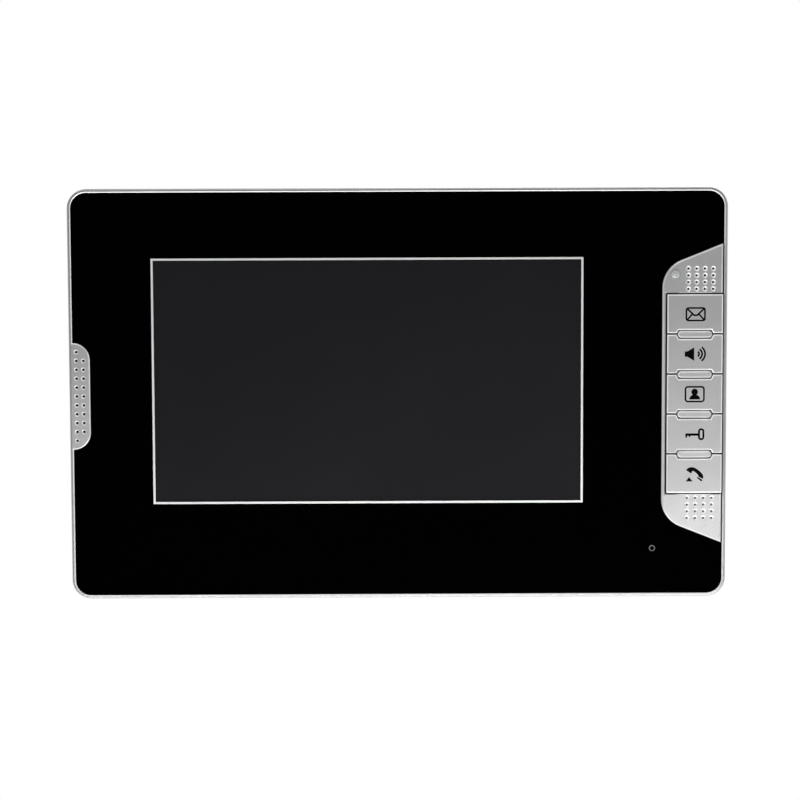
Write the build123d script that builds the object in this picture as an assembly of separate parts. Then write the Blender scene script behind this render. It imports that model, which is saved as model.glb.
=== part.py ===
from build123d import *
import math
import os

# A video intercom monitor on its wall bracket, in millimetres.
# +Z is up, the front faces -Y, +X is to the right seen from the front, and the wall is the plane Y = 0.
# The origin is the centre of the bracket's four screw holes, on its back face.
# A "depth" is a distance from the wall towards the front, so it lies at Y = -depth.
# An "inset" is a distance in from the nearest edge of the body.

# ---- driving sizes: the front ----
body_width = 235.0
body_height = 147.2
body_corner = 6.8
rim_width = 1.3
rim_round = 0.7
rim_lip = 0.35
seam_depth = 19.6
floor_thick = 2.0
tape_thick = 0.2
tape_width = 5.0
tape_margin = 6.0
tape_side_half = 50.0
panel_thick = 1.8
rim_proud = 0.4
panel_gap = 0.1
side_seam = 0.3
ribs_gap = 0.3
ribs_wall = 1.1
ribs_side_half = 25.0
ribs_top_half = 35.0
past = 1.0

# ---- screen ----
screen_x = -10.9
screen_z = 4.8
screen_width = 152.6
screen_height = 86.7
trim_face = 0.75
trim_wall = 0.4
trim_flange = 0.6
trim_proud = 0.25
lens_gap = 0.05
gasket_thick = 0.8
gasket_width = 3.0
active_width = 154.1
active_height = 85.9
lcd_side_border = 5.45
lcd_top_border = 5.7
lcd_bottom_border = 8.4
lcd_thick = 5.7
lcd_sheet = 0.3
cell_thick = 1.5
diffuser_thick = 0.6
guide_thick = 2.5
tray_thick = 0.4
light_bar_width = 2.4
window_margin = 0.3
cell_gap = 0.4
film_gap = 1.0
light_bar_gap = 1.2
light_bar_side_gap = 4.0
light_bar_board = 0.8
lamp_count = 24
lamp_width = 3.0
lamp_deep = 1.4
lamp_side_gap = 8.0
lamp_front_gap = 0.2

# ---- key column ----
column_z = -0.2
column_half = 53.8
column_inset = 23.15
column_slope = 21.7
column_round = 10.6
column_thick = 1.5
column_skirt = 1.2
column_proud = 0.8
column_bevel = 0.6
window_bevel = 0.3
key_pitch = 14.37
key_inset = 21.4
key_gap = 0.5
key_proud = 0.6
key_thick = 1.8
key_bevel = 0.45
key_travel = 0.5
key_names = ["message", "volume", "monitor", "unlock", "talk"]
notch_width = 13.4
notch_above = 1.4
notch_below = 1.8
notch_slant_above = 0.8
notch_slant_below = 0.9
bar_length = 12.3
bar_height = 2.55
bar_rise = -0.175
bar_bevel = 0.55
bar_below_key = 0.1
crossbar_thick = 0.7
crossbar_height = 2.8
crossbar_right_gap = 2.0
stem_radius = 1.9
guide_gap = 0.3
leg_offset = 4.2
leg_thick = 1.2
leg_width = 3.0
hook_reach = 0.6
hook_height = 1.0
hook_gap = 0.1
dimple_count = 4
dimple_radius = 0.95
dimple_core = 0.35
dimple_depth = 0.5
dimple_pitch_x = 2.94
dimple_pitch_z = 2.42
dimple_inset = 9.53
dimple_from_centre = 41.2
dimple_pair_shift = 0.04
status_inset = 18.6
status_z = 42.7
status_radius = 1.6
status_collar = 2.3
status_collar_thick = 0.8
status_proud = 0.8
status_ball = 1.25
status_gap = 0.1

# ---- speaker grille ----
tab_z = -0.3
tab_half = 19.1
tab_inset = 7.35
tab_round = 6.0
grille_hole = 0.48
grille_mouth = 0.85
grille_mouth_depth = 0.35
grille_pitch = 3.19
grille_outer_inset = 2.58
grille_inner_inset = 5.07
grille_outer_count = 11
grille_inner_count = 9
tab_thick = 2.0
chamber_wall = 1.6
chamber_half = 16.9
chamber_inset = 19.9
chamber_floor = 0.6
mesh_inset = 5.9
mesh_thick = 0.2
mesh_gap = 0.1
speaker_inset = 14.1
speaker_width = 15.0
speaker_height = 40.0
speaker_depth = 6.0
speaker_flange = 1.2
speaker_gasket = 1.8
speaker_ring = 1.6
magnet_width = 10.0
magnet_height = 14.0
magnet_thick = 3.0
cone_thick = 0.6
cone_cap = 0.4
basket_inset = 1.0
basket_wall = 1.0
basket_plate = 0.8

# ---- microphone ----
mic_side_inset = 26.3
mic_bottom_inset = 17.5
mic_hole = 0.55
mic_mouth = 1.05
mic_mouth_depth = 0.5
mic_radius = 3.0
mic_thick = 2.7
boot_wall = 1.1
boot_face = 1.3
mic_fit = 0.02

# ---- rear cover ----
wall_gap = 0.4
cover_wall = 2.0
cover_inset = 2.5
cover_taper = 9.0
cover_corner = 5.0
cover_edge = 1.5
tongue_thick = 1.2
tongue_depth = 2.0
tongue_gap = 0.5
boss_radius = 3.5
boss_side_inset = 13.5
boss_end_inset = 13.6
middle_boss_inset = 12.1
boss_end = 6.0
well_wall = 1.6
well_floor = 2.0
screw_head_radius = 2.8
screw_head_height = 1.8
screw_radius = 1.4
screw_length = 9.0
screw_clearance = 0.3
thread_fit = 0.02
thread_end = 0.5
vent_count = 12
vent_pitch = 8.0
vent_width = 2.0
vent_length = 10.0
vent_top_inset = 17.6
vent_bottom_inset = 15.6

# ---- wall bracket ----
bracket_width = 116.0
bracket_height = 84.0
bracket_corner = 4.0
bracket_thick = 1.2
bracket_gap = 0.3
bracket_side_gap = 1.0
cable_width = 44.0
cable_height = 34.0
cable_corner = 3.0
wall_hole = 2.1
wall_hole_x = 104.0
wall_hole_z = 68.0
box_slot_x = 60.3
box_slot_length = 8.0
hook_x = 40.0
hook_low_z = [22.0, -36.0]
hook_width = 10.0
hook_thick = 1.2
hook_tall = 6.0
hook_slot_gap = 0.5
hook_rest_gap = 0.1
lift_travel = 5.5

# ---- main board and what is on it ----
board_left = -75.0
board_right = 55.0
board_top = 30.0
board_bottom_inset = 7.2
board_thick = 1.6
board_depth = 9.0
board_hole_side = 5.0
board_hole_top = 6.0
board_hole_bottom = 16.4
standoff_radius = 3.0
board_screw_radius = 1.15
board_screw_head = 2.3
board_screw_head_height = 1.5
board_screw_length = 5.0
bay_width = 45.0
bay_height = 35.0
bay_wall = 1.2
bay_gap = 0.3
socket_wall = 0.8
socket_width = 5.75
socket_height = 7.0
socket_floor = 1.8
socket_pitch = 2.5
socket_end = 2.45
socket_space = 2.0
pin_size = 0.64
pin_gap = 2.6
socket_pins_each = [4, 4, 2]
slit_width = 1.2
slit_from_end = 1.2
slit_floor = 1.5
slit_lip = 0.5
lead_socket_height = 4.5
lead_socket_width = 4.5
processor_size = 14.0
processor_thick = 1.4
leg_reach = 1.0
leg_height = 0.4
processor_spot = (-45, -22)
small_chip_spots = [(-45, 6), (-24, -32), (-2, -28), (18, -34)]
small_chip_size = (5.0, 4.2, 1.6)
small_chip_inset = 0.3
capacitor_spots = [(-68, 6), (-68, -3), (-68, -12), (-68, -21)]
capacitor_radius = 3.15
capacitor_height = 5.4
capacitor_base = 6.6
capacitor_base_thick = 0.8
coil_spot = (-20, -48)
coil_radius = 5.0
coil_height = 4.2
coil_core = 1.8
coil_floor = 0.8
lead_socket_edge = 0.5
lead_socket_long = {"speaker": 6.0, "microphone": 6.0, "keys": 18.0}
lead_socket_z = {"speaker": 14.0, "microphone": -34.0, "keys": 2.0}

# ---- thumbwheels ----
wheel_names = ["brightness", "contrast"]
wheel_x = [20.0, 42.0]
wheel_radius = 7.5
wheel_thick = 2.4
wheel_proud = 1.5
wheel_back = 4.2
wheel_bore_gap = 0.05
wheel_slot_gap = 0.3
wheel_grips = 36
grip_radius = 0.3
wheel_edge = 1.4
wheel_hub = 1.4
wheel_dish = 0.5
mark_radius = 0.4
mark_in = 2.2
mark_deep = 0.4
wheel_slot_inset = 0.6
wheel_slot_rise = 2.0
post_radius = 1.5
pot_size = 7.0
pot_gap = 0.3
post_end = 0.2

# ---- key board ----
key_board_left_inset = 29.5
key_board_right_inset = 6.7
key_board_half = 51.0
key_board_depth = 13.5
key_board_thick = 1.6
key_board_hole_insets = [26.0, 9.5]
key_board_hole_half = 46.0
small_boss = 2.6
board_hole_fit = 0.1
switch_well = 0.3
switch_size = 6.0
switch_height = 3.5
plunger_radius = 1.75
plunger_rise = 1.5
plunger_inside = 0.8
plunger_gap = 0.1
led_radius = 1.5
led_height = 4.5

# ---- LCD clips ----
clip_x = [-80.0, 58.5]
clip_out = 4.6
clip_width = 8.0
clip_over = 3.5
clip_thick = 0.8
clip_boss = 3.0

# ---- leads ----
lead_radius = 0.8
lead_bend = 4.0
lead_wide_bend = 6.0
speaker_lead_in = 1.4
mic_lead_step = (14.0, 6.0)
mic_lead_rise = 1.0
mic_lead_run = 9.0
flex_width = 40.0
flex_thick = 0.3
flex_x = -15.0
flex_socket_height = 1.2
flex_socket_side = 1.5
flex_socket_tall = 4.0
flex_step = 0.6
flex_out = 3.0
flex_in = 6.0
flex_start = 0.1
flex_bend = 0.9
flex_mouth_side = 0.5
flex_mouth_half = 0.4
ribbon_width = 16.0
ribbon_thick = 0.8
ribbon_lap = 5.0
ribbon_out = 6.0
ribbon_run = 8.0

# ---- worked out from the values above ----
right_edge = body_width / 2
left_edge = -body_width / 2
top_edge = body_height / 2
bottom_edge = -body_height / 2
floor_front = seam_depth + floor_thick
panel_back = floor_front + tape_thick
panel_front = panel_back + panel_thick
rim_front = panel_front + rim_proud
column_front = panel_front + column_proud
column_back = column_front - column_thick
key_front = column_front + key_proud
key_back = key_front - key_thick
panel_half_x = body_width / 2 - rim_width
panel_half_z = body_height / 2 - rim_width
column_left = right_edge - column_inset
column_right = panel_half_x - side_seam
key_left = right_edge - key_inset
key_right = column_right
key_x = (key_left + key_right) / 2
key_width = key_right - key_left
key_height = key_pitch - key_gap
key_count = len(key_names)
window_left = key_left - key_gap
window_half = key_count * key_pitch / 2 + key_gap / 2
dimple_x = right_edge - dimple_inset
status_x = right_edge - status_inset
mic_x = right_edge - mic_side_inset
mic_z = bottom_edge + mic_bottom_inset
key_board_left = right_edge - key_board_left_inset
key_board_right = right_edge - key_board_right_inset
key_board_hole_x = [right_edge - inset for inset in key_board_hole_insets]
key_board_holes = [(x, side * key_board_hole_half) for x in key_board_hole_x for side in (1, -1)]
trim_front = panel_front + trim_proud
trim_outer_x = screen_width / 2 + trim_face
trim_outer_z = screen_height / 2 + trim_face
lens_front = trim_front - trim_flange
lens_half_x = trim_outer_x - trim_wall - lens_gap
lens_half_z = trim_outer_z - trim_wall - lens_gap
lcd_front = seam_depth - gasket_thick
lcd_back = lcd_front - lcd_thick
lcd_left = screen_x - active_width / 2 - lcd_side_border
lcd_right = screen_x + active_width / 2 + lcd_side_border
lcd_top = screen_z + active_height / 2 + lcd_top_border
lcd_bottom = screen_z - active_height / 2 - lcd_bottom_border
cell_front = lcd_front - lcd_sheet
cell_back = cell_front - cell_thick
diffuser_back = cell_back - diffuser_thick
guide_back = diffuser_back - guide_thick
switch_front = key_board_depth + switch_height
plunger_front = switch_front + plunger_rise
inner_back = wall_gap + cover_wall
recess_depth = bracket_thick + bracket_gap
recess_inner = recess_depth + cover_wall
hook_back = recess_inner + bracket_gap
hook_front = hook_back + hook_thick
wheel_front = wheel_back + wheel_thick
speaker_front = seam_depth - speaker_gasket
speaker_back = speaker_front - speaker_depth
speaker_x = left_edge + speaker_inset
chamber_left = left_edge + chamber_wall
chamber_right = left_edge + chamber_inset
mesh_right = left_edge + mesh_inset
tab_inner = left_edge + tab_inset
tab_back = rim_front - tab_thick
grille_outer_x = left_edge + grille_outer_inset
grille_inner_x = left_edge + grille_inner_inset
boss_x = right_edge - boss_side_inset
boss_z = top_edge - boss_end_inset
boss_spots = [(-boss_x, boss_z), (boss_x, boss_z), (-boss_x, -boss_z), (boss_x, -boss_z)]
boss_spots.append((0, top_edge - middle_boss_inset))
vent_top_z = top_edge - vent_top_inset
vent_bottom_z = bottom_edge + vent_bottom_inset
board_bottom = bottom_edge + board_bottom_inset
board_hole_x = [board_left + board_hole_side, board_right - board_hole_side]
board_hole_z = [board_top - board_hole_top, board_bottom + board_hole_bottom]


def key_z(index):
    # Centre height of a key, counted from the top.
    return column_z + ((key_count - 1) / 2 - index) * key_pitch


def seam_z(index):
    # Height of the seam under a key.
    return key_z(index) - key_pitch / 2


def cover_half_x(depth):
    # The cover's outer half width shrinks towards the wall.
    return body_width / 2 - cover_inset - (seam_depth - depth) * math.tan(math.radians(cover_taper))


def cover_half_z(depth):
    return body_height / 2 - cover_inset - (seam_depth - depth) * math.tan(math.radians(cover_taper))


wheel_rim_z = -cover_half_z((wheel_back + wheel_front) / 2) - wheel_proud
wheel_z = wheel_rim_z + wheel_radius


# ---- helpers ----
def facing(depth):
    # A plane at a depth whose sketches read as seen from the front.
    return Plane(origin=(0, -depth, 0), x_dir=(1, 0, 0), z_dir=(0, -1, 0))


def plate(sketch, back, front):
    # A sketch seen from the front, filled between two depths.
    return extrude(facing(back) * sketch, front - back)


def block(left, right, back, front, low, high):
    centre = Pos((left + right) / 2, -(back + front) / 2, (low + high) / 2)
    return centre * Box(right - left, front - back, high - low)


def disc(x, z, radius, back, front):
    return plate(Pos(x, z) * Circle(radius), back, front)


def taper(x, z, back_radius, front_radius, back, front):
    # A cone along the depth.
    ends = [facing(back) * Pos(x, z) * Circle(back_radius), facing(front) * Pos(x, z) * Circle(front_radius)]
    return loft(ends)


def framed(half_x, half_z, width):
    # A rectangular ring about the screen's centre, given by its outer half sizes.
    ring = Rectangle(2 * half_x, 2 * half_z) - Rectangle(2 * (half_x - width), 2 * (half_z - width))
    return Pos(screen_x, screen_z) * ring


def edges_at(shape, depth):
    return shape.edges().filter_by(lambda edge: abs(edge.center().Y + depth) < 1e-4)


def screw(x, z, head_back, head_height, head_radius, length, radius):
    # The head's under side is at head_back + head_height and the shank goes on towards the front.
    seat = head_back + head_height
    body = disc(x, z, head_radius, head_back, seat) + disc(x, z, radius, seat, seat + length)
    arm = head_radius * 1.1
    cross = Rectangle(arm, arm / 4) + Rectangle(arm / 4, arm)
    return body - plate(Pos(x, z) * cross, head_back, head_back + head_height / 2)


def small_screw(x, z, head_back, length):
    radius = board_screw_radius - thread_fit
    return screw(x, z, head_back, board_screw_head_height, board_screw_head, length, radius)


def panel_outline(gap):
    size_x = 2 * (panel_half_x + gap)
    size_z = 2 * (panel_half_z + gap)
    return RectangleRounded(size_x, size_z, body_corner - rim_width + gap)


def tab_outline(gap):
    # The grille tab: a strip with two rounded inner corners that grows out of the left rim.
    right = tab_inner + gap
    centre = Pos((left_edge + right) / 2, tab_z)
    strip = centre * Rectangle(right - left_edge, 2 * (tab_half + gap))
    corners = strip.vertices().group_by(Axis.X)[-1]
    return fillet(corners, tab_round + gap)


def column_outline(gap):
    # The key column: straight at the rim, with two slanted ends that round into its left side.
    left = column_left - gap
    right = column_right + gap
    slope = math.tan(math.radians(column_slope))
    end = column_half + gap / math.cos(math.radians(column_slope))
    corner = end - (right - left) * slope
    points = [
        (right, column_z + end),
        (left, column_z + corner),
        (left, column_z - corner),
        (right, column_z - end),
    ]
    shape = make_face(Polyline(*points, close=True))
    return fillet(shape.vertices().group_by(Axis.X)[0], column_round + gap)


# ---- front frame, panel and screen ----
def grille_holes():
    columns = [(grille_outer_x, grille_outer_count), (grille_inner_x, grille_inner_count)]
    cutters = []
    for x, count in columns:
        for row in range(count):
            z = tab_z + (row - (count - 1) / 2) * grille_pitch
            cutters.append(disc(x, z, grille_hole, seam_depth, rim_front + past))
            mouth_back = rim_front - grille_mouth_depth
            cutters.append(taper(x, z, grille_hole, grille_mouth, mouth_back, rim_front))
    return cutters


def key_floor_holes():
    cutters = []
    for index in range(key_count):
        z = key_z(index)
        cutters.append(disc(key_x, z, stem_radius + guide_gap, seam_depth - past, floor_front + past))
        for side in (-1, 1):
            x = key_x + side * leg_offset
            # The slot is wide enough to let the hook pass when the leg is bent in.
            inner = x - side * (leg_thick / 2 + hook_reach + guide_gap)
            outer = x + side * (leg_thick / 2 + guide_gap)
            half = leg_width / 2 + guide_gap
            low, high = min(inner, outer), max(inner, outer)
            cutters.append(block(low, high, seam_depth - past, floor_front + past, z - half, z + half))
    return cutters


def tongue():
    half_x = cover_half_x(seam_depth) - cover_wall - tongue_gap
    half_z = cover_half_z(seam_depth) - cover_wall - tongue_gap
    outer = RectangleRounded(2 * half_x, 2 * half_z, cover_corner - cover_wall)
    inner = Rectangle(2 * (half_x - tongue_thick), 2 * (half_z - tongue_thick))
    return plate(outer - inner, seam_depth - tongue_depth, seam_depth)


def lcd_ribs():
    # Four short walls that centre the LCD module.
    reach = seam_depth - gasket_thick - lcd_thick / 2
    near = ribs_gap
    far = ribs_gap + ribs_wall
    side_x = (lcd_left + lcd_right) / 2
    side_z = (lcd_top + lcd_bottom) / 2
    low, high = side_z - ribs_side_half, side_z + ribs_side_half
    left, right = side_x - ribs_top_half, side_x + ribs_top_half
    return [
        block(lcd_left - far, lcd_left - near, reach, seam_depth, low, high),
        block(lcd_right + near, lcd_right + far, reach, seam_depth, low, high),
        block(left, right, reach, seam_depth, lcd_top + near, lcd_top + far),
        block(left, right, reach, seam_depth, lcd_bottom - far, lcd_bottom - near),
    ]


def clip_spots():
    top = lcd_top + clip_out
    bottom = lcd_bottom - clip_out
    return [(x, z) for x in clip_x for z in (top, bottom)]


def make_front_frame():
    outline = RectangleRounded(body_width, body_height, body_corner)
    frame = plate(outline, seam_depth, rim_front)
    frame = fillet(edges_at(frame, rim_front), rim_round)
    frame -= plate(panel_outline(panel_gap) - tab_outline(0), floor_front, rim_front + past)
    inside = panel_half_x + rim_width / 4
    inside_z = panel_half_z + rim_width / 4
    lip = [
        edge
        for edge in edges_at(frame, rim_front)
        if abs(edge.center().X) < inside and abs(edge.center().Z) < inside_z
    ]
    frame = chamfer(lip, rim_lip)
    screen_hole = Pos(screen_x, screen_z) * Rectangle(screen_width, screen_height)
    frame -= plate(screen_hole, seam_depth - past, floor_front + past)
    # The sound leaves through a shallow chamber that reaches from the speaker to the grille's holes.
    low = tab_z - chamber_half
    high = tab_z + chamber_half
    frame -= block(chamber_left, chamber_right, seam_depth - past, floor_front - chamber_floor, low, high)
    frame -= block(chamber_left, mesh_right, seam_depth - past, tab_back, low, high)
    frame -= grille_holes()
    frame -= key_floor_holes()
    frame -= disc(status_x, status_z, status_radius + status_gap, seam_depth - past, floor_front + past)
    frame -= disc(mic_x, mic_z, mic_hole, seam_depth - past, floor_front + past)
    frame += tongue()
    frame += lcd_ribs()
    for x, z in boss_spots:
        frame += disc(x, z, boss_radius, boss_end, seam_depth)
        frame -= disc(x, z, screw_radius, boss_end - past, boss_end + screw_length)
    for x, z in clip_spots():
        frame += disc(x, z, clip_boss, lcd_back, seam_depth)
        frame -= disc(x, z, board_screw_radius, lcd_back - past, lcd_back + board_screw_length)
    for x, z in key_board_holes:
        frame += disc(x, z + column_z, small_boss, key_board_depth, seam_depth)
        hole_end = key_board_depth + board_screw_length
        frame -= disc(x, z + column_z, board_screw_radius, key_board_depth - past, hole_end)
    return frame


def make_front_panel():
    outline = panel_outline(0) - tab_outline(panel_gap) - column_outline(panel_gap)
    outline -= Pos(screen_x, screen_z) * Rectangle(2 * trim_outer_x, 2 * trim_outer_z)
    # The column runs out to the rim, so nothing of the panel is left beside it.
    outline -= Pos(panel_half_x, column_z) * Rectangle(past, 2 * (column_half + panel_gap))
    panel = plate(outline, panel_back, panel_front)
    panel -= disc(mic_x, mic_z, mic_hole, panel_back - past, panel_front + past)
    return panel - taper(mic_x, mic_z, mic_hole, mic_mouth, panel_front - mic_mouth_depth, panel_front)


def make_panel_tape():
    # Four strips of double-sided tape that hold the panel on the frame's floor.
    left = -panel_half_x + tape_margin
    right = column_left - 2 * tape_margin
    high = panel_half_z - tape_margin
    low = -panel_half_z + tape_margin
    near_tab = tab_inner + tape_margin
    half = tape_side_half
    strips = [
        block(left, right, floor_front, panel_back, high - tape_width, high),
        block(left, right, floor_front, panel_back, low, low + tape_width),
        block(near_tab, near_tab + tape_width, floor_front, panel_back, -half, half),
        block(right - tape_width, right, floor_front, panel_back, -half, half),
    ]
    return Compound(children=strips)


def make_screen_trim():
    flange = framed(trim_outer_x, trim_outer_z, trim_face)
    wall = framed(trim_outer_x, trim_outer_z, trim_wall)
    return plate(flange, lens_front, trim_front) + plate(wall, floor_front, lens_front)


def make_screen_lens():
    face = Pos(screen_x, screen_z) * Rectangle(2 * lens_half_x, 2 * lens_half_z)
    return plate(face, floor_front, lens_front)


def make_screen_gasket():
    half_x = active_width / 2 + lcd_side_border / 2 + gasket_width / 2
    half_z = active_height / 2 + lcd_top_border / 2 + gasket_width / 2
    return plate(framed(half_x, half_z, gasket_width), lcd_front, seam_depth)


# ---- LCD module ----
def lcd_area(inset):
    middle = Pos((lcd_left + lcd_right) / 2, (lcd_top + lcd_bottom) / 2)
    return middle * Rectangle(lcd_right - lcd_left - 2 * inset, lcd_top - lcd_bottom - 2 * inset)


def make_lcd_frame():
    margin = 2 * window_margin
    window = Pos(screen_x, screen_z) * Rectangle(active_width + margin, active_height + margin)
    frame = plate(lcd_area(0) - lcd_area(lcd_sheet), lcd_back + tray_thick, lcd_front)
    frame += plate(lcd_area(0) - window, cell_front, lcd_front)
    return frame - flex_mouth()


def make_lcd_tray():
    return plate(lcd_area(0), lcd_back, lcd_back + tray_thick)


def make_lcd_cell():
    return plate(lcd_area(lcd_sheet + cell_gap), cell_back, cell_front)


def guide_low():
    return lcd_bottom + lcd_sheet + light_bar_width + light_bar_gap


def lcd_film(back, front):
    return block(lcd_left + film_gap, lcd_right - film_gap, back, front, guide_low(), lcd_top - film_gap)


def make_lcd_diffuser():
    return lcd_film(diffuser_back, cell_back)


def make_lcd_light_guide():
    return lcd_film(guide_back, diffuser_back)


def make_lcd_light_bar():
    # A strip with a row of side-firing LEDs that meets the light guide's lower edge.
    top = guide_low()
    board_front = guide_back + light_bar_board
    left = lcd_left + light_bar_side_gap
    right = lcd_right - light_bar_side_gap
    strip = block(left, right, guide_back, board_front, top - light_bar_width, top)
    first = lcd_left + lamp_side_gap
    step = (lcd_right - lcd_left - 2 * lamp_side_gap) / (lamp_count - 1)
    half = lamp_width / 2
    front = diffuser_back - lamp_front_gap
    lamps = []
    for index in range(lamp_count):
        x = first + index * step
        lamps.append(block(x - half, x + half, board_front, front, top - lamp_deep, top))
    return strip + lamps


def flex_path():
    # The flex leaves the module's lower side, turns back and runs up to its socket on the board.
    out_depth = (lcd_back + guide_back) / 2 + flex_step
    turn_z = lcd_bottom - flex_out
    end_depth = board_depth + board_thick + flex_socket_height / 2
    end_z = lcd_bottom + flex_in
    start_z = lcd_bottom + flex_start
    return [(start_z, out_depth), (turn_z, out_depth), (turn_z, end_depth), (end_z, end_depth)]


def flex_mouth():
    # The slit in the LCD frame's lower side.
    depth = flex_path()[0][1]
    half = flex_width / 2 + flex_mouth_side
    back, front = depth - flex_mouth_half, depth + flex_mouth_half
    return block(flex_x - half, flex_x + half, back, front, lcd_bottom - past, lcd_bottom + past)


def strip_along(points, radii, thickness, left, width):
    # A flat strip: a path in height and depth, thickened, then drawn out along X.
    side = Plane(origin=(left, 0, 0), x_dir=(0, 0, 1), z_dir=(1, 0, 0))
    line = FilletPolyline(*[(z, depth) for z, depth in points], radius=radii)
    profile = trace(line, thickness)
    # The plane's second axis points along -Y, which is the depth.
    return extrude(side * profile, width)


def make_lcd_flex():
    return strip_along(flex_path(), flex_bend, flex_thick, flex_x - flex_width / 2, flex_width)


def make_lcd_flex_socket():
    front = board_depth + board_thick + flex_socket_height
    low = lcd_bottom + flex_in
    half = flex_width / 2 + flex_socket_side
    back = board_depth + board_thick
    return block(flex_x - half, flex_x + half, back, front, low, low + flex_socket_tall)


def make_lcd_clips():
    clips = []
    for x, z in clip_spots():
        inwards = -1 if z > 0 else 1
        edge = lcd_top if z > 0 else lcd_bottom
        far = z - inwards * clip_boss
        near = edge + inwards * clip_over
        low, high = min(far, near), max(far, near)
        clip = block(x - clip_width / 2, x + clip_width / 2, lcd_back - clip_thick, lcd_back, low, high)
        hole = board_screw_radius + board_hole_fit
        clips.append(clip - disc(x, z, hole, lcd_back - clip_thick - past, lcd_back + past))
    return Compound(children=clips)


def make_lcd_clip_screws():
    head_back = lcd_back - clip_thick - board_screw_head_height
    screws = []
    for x, z in clip_spots():
        screws.append(small_screw(x, z, head_back, board_screw_length))
    return Compound(children=screws)


# ---- key column ----
def dimples(middle_z, through):
    cutters = []
    half = (dimple_count - 1) / 2
    for column in range(dimple_count):
        for row in range(dimple_count):
            x = dimple_x + (column - half) * dimple_pitch_x
            z = middle_z + (row - half) * dimple_pitch_z
            back = column_front - dimple_depth
            cutters.append(taper(x, z, dimple_core, dimple_radius, back, column_front))
            if through:
                cutters.append(disc(x, z, dimple_core, column_back - past, column_front))
    return cutters


def key_window():
    # The opening that the keys stand in, open to the right.
    right = column_right + past
    return Pos((window_left + right) / 2, column_z) * Rectangle(right - window_left, 2 * window_half)


def on_window(edge):
    # Whether an edge of the column's front lies along the window.
    level = abs(abs(edge.center().Z - column_z) - window_half) < 1e-4
    return level or abs(edge.center().X - window_left) < 1e-4


def make_key_trim():
    outline = column_outline(0)
    window = key_window()
    trim = plate(outline, column_back, column_front)
    trim = chamfer(edges_at(trim, column_front), column_bevel)
    trim += plate(outline - column_outline(-column_skirt), floor_front, column_back)
    trim -= plate(window, floor_front - past, column_front + past)
    trim = chamfer(edges_at(trim, column_front).filter_by(on_window), window_bevel)
    trim -= dimples(column_z + dimple_from_centre + dimple_pair_shift, True)
    trim -= dimples(column_z - dimple_from_centre - dimple_pair_shift, False)
    trim -= disc(status_x, status_z, status_radius + status_gap, column_back - past, column_front + past)
    low_back = floor_front
    for index in range(key_count - 1):
        z = seam_z(index)
        right = key_right - crossbar_right_gap
        half = crossbar_height / 2
        bar_front = low_back + crossbar_thick
        trim += block(column_left + column_skirt / 2, right, low_back, bar_front, z - half, z + half)
        pill = Pos(key_x, z + bar_rise) * SlotOverall(bar_length, bar_height)
        riser = plate(pill, low_back, key_front - bar_below_key)
        trim += chamfer(edges_at(riser, key_front - bar_below_key), bar_bevel)
    return trim


def key_face(index):
    # The key's front outline, notched where a bar stands between it and its neighbour.
    face = Pos(key_x, key_z(index)) * Rectangle(key_width, key_height)
    if index > 0:
        face -= notch(seam_z(index - 1))
    if index < key_count - 1:
        face -= notch(seam_z(index))
    return face


def notch(z):
    half = notch_width / 2
    points = [
        (key_x - half, z),
        (key_x - half + notch_slant_above, z + notch_above),
        (key_x + half - notch_slant_above, z + notch_above),
        (key_x + half, z),
        (key_x + half - notch_slant_below, z - notch_below),
        (key_x - half + notch_slant_below, z - notch_below),
    ]
    return make_face(Polyline(*points, close=True))


def key_leg(index, side):
    # A springy leg whose hook stops behind the frame's floor.
    z = key_z(index)
    x = key_x + side * leg_offset
    half = leg_width / 2
    hook_front_depth = seam_depth - hook_gap
    hook_back_depth = hook_front_depth - hook_height
    leg = block(x - leg_thick / 2, x + leg_thick / 2, hook_back_depth, key_back, z - half, z + half)
    inner = x - side * (leg_thick / 2 + hook_reach)
    low, high = min(inner, x), max(inner, x)
    return leg + block(low, high, hook_back_depth, hook_front_depth, z - half, z + half)


def make_key(index):
    cap = plate(key_face(index), key_back, key_front)
    cap = chamfer(edges_at(cap, key_front), key_bevel)
    cap += disc(key_x, key_z(index), stem_radius, plunger_front, key_back)
    for side in (-1, 1):
        cap += key_leg(index, side)
    return cap


def make_plunger(index):
    return disc(key_x, key_z(index), plunger_radius, switch_front - plunger_inside, plunger_front)


def make_key_switches():
    bodies = []
    half = switch_size / 2
    for index in range(key_count):
        z = key_z(index)
        body = block(key_x - half, key_x + half, key_board_depth, switch_front, z - half, z + half)
        hole_back = switch_front - plunger_inside - key_travel - switch_well
        bodies.append(body - disc(key_x, z, plunger_radius + plunger_gap, hole_back, switch_front + past))
    return Compound(children=bodies)


def make_key_board():
    low = column_z - key_board_half
    high = column_z + key_board_half
    back = key_board_depth - key_board_thick
    board = block(key_board_left, key_board_right, back, key_board_depth, low, high)
    for x, z in key_board_holes:
        hole = board_screw_radius + board_hole_fit
        board -= disc(x, z + column_z, hole, back - past, key_board_depth + past)
    return board


def make_key_board_screws():
    head_back = key_board_depth - key_board_thick - board_screw_head_height
    length = key_board_thick + board_screw_length - thread_end
    screws = []
    for x, z in key_board_holes:
        screws.append(small_screw(x, z + column_z, head_back, length))
    return Compound(children=screws)


def make_status_lens():
    # A light pipe with a collar behind the floor and a dome that stands out of the column.
    back = seam_depth - status_collar_thick
    tip = column_front + status_proud
    dome_base = tip - status_radius / 2
    pipe = disc(status_x, status_z, status_radius, back, dome_base)
    pipe += disc(status_x, status_z, status_collar, back, seam_depth)
    ball_radius = status_radius * status_ball
    ball = Pos(status_x, ball_radius - tip, status_z) * Sphere(ball_radius)
    return pipe + (ball & disc(status_x, status_z, status_radius, dome_base - status_radius / 2, tip))


def make_status_led():
    return disc(status_x, status_z, led_radius, key_board_depth, key_board_depth + led_height)


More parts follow.
